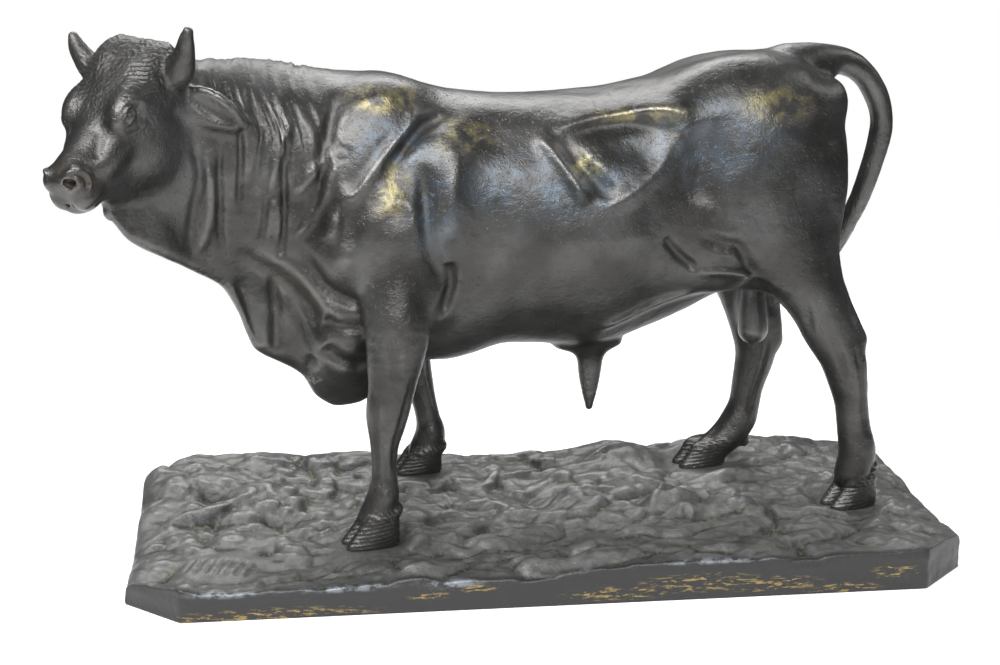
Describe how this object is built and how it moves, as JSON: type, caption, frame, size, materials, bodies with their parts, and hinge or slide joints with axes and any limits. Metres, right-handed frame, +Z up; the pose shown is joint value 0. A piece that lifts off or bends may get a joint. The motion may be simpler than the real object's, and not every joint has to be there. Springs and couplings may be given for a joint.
{
  "type": "bronze bull sculpture on a rocky ground base",
  "caption": "Patinated bronze bull standing four-square with its head turned to its left, on an oblong base of rough modelled ground with cut corners.",
  "frame": {"origin": "centre of the base's flat underside", "axes": "+X from the bull's head end to its tail end, +Z up, -Y the side that the head is turned to"},
  "size_m": [0.3596, 0.134, 0.2213],
  "materials": {
    "bull_bronze": "dark brown-black patinated bronze, satin",
    "base_bronze": "dark green-brown patinated bronze, rubbed to the yellow metal along the sides"
  },
  "bodies": {
    "root": {"bull": "bull_bronze", "ground_base": "base_bronze"}
  },
  "joints": []
}
